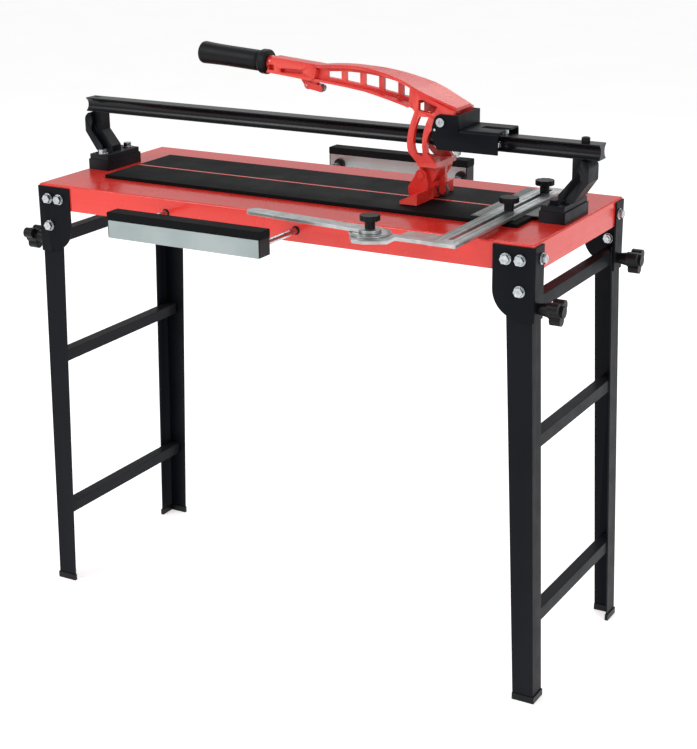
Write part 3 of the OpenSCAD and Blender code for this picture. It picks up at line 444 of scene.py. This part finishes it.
def beadRowTree():
    # overlapping drops of weld along a line, each a little different
    tree, source, output = newTree("beadRow", [("Count", "NodeSocketInt"), ("Start", "NodeSocketVector"),
        ("Step", "NodeSocketVector"), ("Radius", "NodeSocketFloat"), ("Seed", "NodeSocketInt"),
        ("Material", "NodeSocketMaterial")])
    row = tree.nodes.new("GeometryNodeMeshLine")
    row.mode = "OFFSET"
    drop = tree.nodes.new("GeometryNodeMeshIcoSphere")
    drop.inputs["Subdivisions"].default_value = 2
    vary = tree.nodes.new("FunctionNodeRandomValue")
    vary.data_type = "FLOAT_VECTOR"
    vary.inputs["Min"].default_value = (0.8, 0.8, 0.8)
    vary.inputs["Max"].default_value = (1.15, 1.15, 1.15)
    copies = tree.nodes.new("GeometryNodeInstanceOnPoints")
    tree.links.new(source.outputs["Count"], row.inputs["Count"])
    tree.links.new(source.outputs["Start"], row.inputs["Start Location"])
    tree.links.new(source.outputs["Step"], row.inputs["Offset"])
    tree.links.new(source.outputs["Radius"], drop.inputs["Radius"])
    tree.links.new(source.outputs["Seed"], vary.inputs["Seed"])
    tree.links.new(row.outputs["Mesh"], copies.inputs["Points"])
    tree.links.new(drop.outputs["Mesh"], copies.inputs["Instance"])
    tree.links.new(vary.outputs["Value"], copies.inputs["Scale"])
    return closeTree(tree, copies.outputs["Instances"], source, output)


def markFanTree():
    # small blocks set round a centre at equal angles
    tree, source, output = newTree("markFan", [("Count", "NodeSocketInt"), ("Centre", "NodeSocketVector"),
        ("First", "NodeSocketFloat"), ("Turn", "NodeSocketFloat"), ("Reach", "NodeSocketVector"),
        ("Size", "NodeSocketVector"), ("Material", "NodeSocketMaterial")])
    row = tree.nodes.new("GeometryNodeMeshLine")
    row.mode = "OFFSET"
    row.inputs["Offset"].default_value = (0, 0, 0)
    block = tree.nodes.new("GeometryNodeMeshCube")
    shift = tree.nodes.new("GeometryNodeTransform")
    index = tree.nodes.new("GeometryNodeInputIndex")
    turn = tree.nodes.new("ShaderNodeMath")
    turn.operation = "MULTIPLY_ADD"
    angles = tree.nodes.new("ShaderNodeCombineXYZ")
    copies = tree.nodes.new("GeometryNodeInstanceOnPoints")
    tree.links.new(source.outputs["Count"], row.inputs["Count"])
    tree.links.new(source.outputs["Centre"], row.inputs["Start Location"])
    tree.links.new(source.outputs["Size"], block.inputs["Size"])
    tree.links.new(block.outputs["Mesh"], shift.inputs["Geometry"])
    tree.links.new(source.outputs["Reach"], shift.inputs["Translation"])
    tree.links.new(index.outputs["Index"], turn.inputs[0])
    tree.links.new(source.outputs["Turn"], turn.inputs[1])
    tree.links.new(source.outputs["First"], turn.inputs[2])
    tree.links.new(turn.outputs["Value"], angles.inputs["Z"])
    tree.links.new(row.outputs["Mesh"], copies.inputs["Points"])
    tree.links.new(shift.outputs["Geometry"], copies.inputs["Instance"])
    tree.links.new(angles.outputs["Vector"], copies.inputs["Rotation"])
    return closeTree(tree, copies.outputs["Instances"], source, output)


def grown(name, runs):
    # each run is a tree with its inputs; all runs are joined into one plain mesh
    meshes = []
    for tree, values in runs:
        holder = bpy.data.objects.new(name, bpy.data.meshes.new(name))
        bpy.context.scene.collection.objects.link(holder)
        modifier = holder.modifiers.new("grow", "NODES")
        modifier.node_group = tree
        for item in tree.interface.items_tree:
            if item.in_out == "INPUT":
                modifier[item.identifier] = values[item.name]
        graph = bpy.context.evaluated_depsgraph_get()
        meshes.append(bpy.data.meshes.new_from_object(holder.evaluated_get(graph)))
        holder.modifiers.clear()
        bpy.data.objects.remove(holder)
    built = bmesh.new()
    for mesh in meshes:
        built.from_mesh(mesh)
    joined = bpy.data.meshes.new(name)
    built.to_mesh(joined)
    built.free()
    obj = bpy.data.objects.new(name, joined)
    bpy.context.scene.collection.objects.link(obj)
    return obj


markRow, beadRow, markFan = markRowTree(), beadRowTree(), markFanTree()

# marks along the left edge of the scale plate, every 2 mm and longer every 10 mm
scaleMarks = dict(pitch=0.002, longPitch=0.010, short=0.006, long=0.012, thick=0.00055, proud=0.00012,
                  inset=0.0015, fromEnd=0.004)


def buildScaleMarks():
    s = scaleMarks
    low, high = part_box("scale_plate")
    runs = []
    for pitch, length in ((s["pitch"], s["short"]), (s["longPitch"], s["long"])):
        count = int((high[1] - low[1] - 2 * s["fromEnd"]) / pitch)
        start = (low[0] + s["inset"] + length / 2, low[1] + s["fromEnd"], high[2])
        runs.append((markRow, dict(Count=count, Start=start, Step=(0, pitch, 0),
                                   Size=(length, s["thick"], 2 * s["proud"]), Material=finishes["markPale"])))
    obj = grown("scaleMarks", runs)
    place(obj, "scale_plate", finishes["markPale"])


buildScaleMarks()

# raised lines along the sliding square, beside its slot and near its edges
ridgeSizes = dict(width=0.0016, proud=0.0003, offsets=(0.0105, 0.0190), fromEnd=0.030)


def buildRidges():
    s = ridgeSizes
    low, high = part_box("fence_square")
    studLow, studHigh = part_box("guide_studs")
    middle = (studLow[0] + studHigh[0]) / 2
    length = high[1] - low[1] - 2 * s["fromEnd"]
    y = (high[1] + low[1]) / 2
    runs = [(markRow, dict(Count=2, Start=(middle - offset, y, high[2]), Step=(2 * offset, 0, 0),
                           Size=(s["width"], length, 2 * s["proud"]), Material=finishes["profile_aluminium"]))
            for offset in s["offsets"]]
    obj = grown("squareRidges", runs)
    place(obj, "fence_square", finishes["profile_aluminium"])


buildRidges()

# marks on the protractor disc, every 5 degrees
discMarks = dict(degrees=5, short=0.004, thick=0.0004, proud=0.00012, inset=0.0012, belowArm=0.0003)


def buildDiscMarks():
    s = discMarks
    low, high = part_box("protractor")
    centre = ((low[0] + high[0]) / 2, (low[1] + high[1]) / 2)
    radius = (high[0] - low[0]) / 2
    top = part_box("fence_arm")[0][2] - s["belowArm"]
    reach = (radius - s["inset"] - s["short"] / 2, 0, 0)
    runs = [(markFan, dict(Count=int(360 / s["degrees"]), Centre=(centre[0], centre[1], top), First=0.0,
                           Turn=math.radians(s["degrees"]), Reach=reach,
                           Size=(s["short"], s["thick"], 2 * s["proud"]), Material=finishes["markInk"]))]
    obj = grown("discMarks", runs)
    place(obj, "protractor", finishes["markInk"])


buildDiscMarks()

# weld beads up the outer edge of each leg flange, at each brace tube
weldSizes = dict(radius=0.0016, pitch=0.0017, length=0.020, flange=0.0317, lift=0.001, gap=0.05, slack=0.0001)


def braceBands(mesh):
    # the heights of the tubes' points, one group for each tube
    groups = []
    for z in sorted({round(v.co.z, 5) for v in mesh.vertices}):
        if groups and z - groups[-1][-1] < weldSizes["gap"]:
            groups[-1].append(z)
        else:
            groups.append([z])
    return groups


def buildWelds(side):
    s = weldSizes
    node = side + "_braces"
    mesh = frame["nodes"][node].data
    outermost = max if side == "right" else min
    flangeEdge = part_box(side + "_legs")[1][1] - s["flange"]
    runs = []
    for g, group in enumerate(braceBands(mesh)):
        bottom, top = group[0] - s["slack"], group[-1] + s["slack"]
        x = outermost(v.co.x for v in mesh.vertices if bottom <= v.co.z <= top)
        for end in (-1, 1):
            start = (x, end * flangeEdge, group[0] + s["lift"])
            runs.append((beadRow, dict(Count=int(s["length"] / s["pitch"]), Start=start,
                                       Step=(0, 0, s["pitch"]), Radius=s["radius"], Seed=7 + g,
                                       Material=finishes["black_paint"])))
    obj = grown(side + "Welds", runs)
    place(obj, node)


for side in ("left", "right"):
    buildWelds(side)

# small steel blocks stand for the balls between the rings of each bearing
cageSizes = dict(count=9, blockWidth=0.0026, blockHeight=0.0016, ringShare=0.69, inset=0.0009, first=0.2)


def buildCage(node):
    s = cageSizes
    low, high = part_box(node)
    centre = [(a + b) / 2 for a, b in zip(low, high)]
    ring = (high[0] - low[0]) / 2 * s["ringShare"]
    runs = []
    for face in (low[2] + s["inset"], high[2] - s["inset"]):
        runs.append((markFan, dict(Count=s["count"], Centre=(centre[0], centre[1], face), First=s["first"],
                                   Turn=2 * math.pi / s["count"], Reach=(ring, 0, 0),
                                   Size=(s["blockWidth"], s["blockWidth"], s["blockHeight"]),
                                   Material=finishes["bearing_steel"])))
    obj = grown(camel(node) + "Cage", runs)
    place(obj, node)


for node in frame["nodes"]:
    if node.startswith("bearing_") and node != "bearing_axles":
        buildCage(node)
print("repeated details grown")

# ---------- floor, light, camera ----------

floorSizes = dict(reach=80, drop=0.0002)


def buildFloor():
    mesh = bpy.data.meshes.new("floor")
    reach = floorSizes["reach"]
    corners = [(-reach, -reach), (reach, -reach), (reach, reach), (-reach, reach)]
    mesh.from_pydata([(x, y, -floorSizes["drop"]) for x, y in corners], [], [(0, 1, 2, 3)])
    floor = bpy.data.objects.new("floor", mesh)
    bpy.context.scene.collection.objects.link(floor)
    mat, tree, shader = startMaterial("paleFloor")
    vector = objectCoords(tree)
    soft = noiseField(tree, vector, 2.5, 3)
    colour = blendColours(tree, soft, (0.90, 0.90, 0.90), (0.93, 0.93, 0.93))
    tree.links.new(colour, shader.inputs["Base Color"])
    shader.inputs["Roughness"].default_value = 0.85
    shader.inputs["Specular IOR Level"].default_value = 0.1
    shader.inputs["Emission Color"].default_value = (1, 1, 1, 1)
    shader.inputs["Emission Strength"].default_value = 0.5
    mesh.materials.append(mat)


def areaLight(name, spot, aim, size, power):
    data = bpy.data.lights.new(name, "AREA")
    data.shape = "RECTANGLE"
    data.size, data.size_y = size
    data.energy = power
    lamp = bpy.data.objects.new(name, data)
    lamp.location = spot
    lamp.rotation_mode = "QUATERNION"
    lamp.rotation_quaternion = (Vector(aim) - Vector(spot)).to_track_quat("-Z", "Y")
    bpy.context.scene.collection.objects.link(lamp)


def buildWorld():
    world = bpy.data.worlds.new("studio")
    bpy.context.scene.world = world
    world.use_nodes = True
    back = world.node_tree.nodes["Background"]
    back.inputs["Color"].default_value = (1, 1, 1, 1)
    back.inputs["Strength"].default_value = 0.5


lamps = {
    "key": dict(spot=(-1.9, -2.8, 2.9), aim=(0, 0, 0.6), size=(1.6, 1.6), power=62),
    "fill": dict(spot=(2.8, -1.4, 2.0), aim=(0, 0, 0.5), size=(1.4, 1.4), power=24),
    "back": dict(spot=(-0.6, 2.2, 2.9), aim=(0, 0, 0.75), size=(2.8, 1.6), power=38),
}
cameraSetup = dict(spot=(1.330, -2.233, 1.3129), yaw=29.95, pitch=19.15, roll=-0.63, lens=78.4)


def buildCamera():
    s = cameraSetup
    yaw, pitch, roll = (math.radians(s[k]) for k in ("yaw", "pitch", "roll"))
    forward = Vector((-math.sin(yaw) * math.cos(pitch), math.cos(yaw) * math.cos(pitch), -math.sin(pitch)))
    right = Vector((math.cos(yaw), math.sin(yaw), 0))
    up = right.cross(forward)
    tiltedRight = math.cos(roll) * right + math.sin(roll) * up
    tiltedUp = math.cos(roll) * up - math.sin(roll) * right
    data = bpy.data.cameras.new("camera")
    data.lens = s["lens"]
    data.clip_end = 300
    camera = bpy.data.objects.new("camera", data)
    turn = Matrix((tiltedRight, tiltedUp, -forward)).transposed()
    camera.matrix_world = Matrix.Translation(s["spot"]) @ turn.to_4x4()
    bpy.context.scene.collection.objects.link(camera)
    bpy.context.scene.camera = camera


buildFloor()
buildWorld()
for lampName, lamp in lamps.items():
    areaLight(lampName, lamp["spot"], lamp["aim"], lamp["size"], lamp["power"])
buildCamera()
bpy.context.scene.view_settings.view_transform = "Standard"
print("stage set")
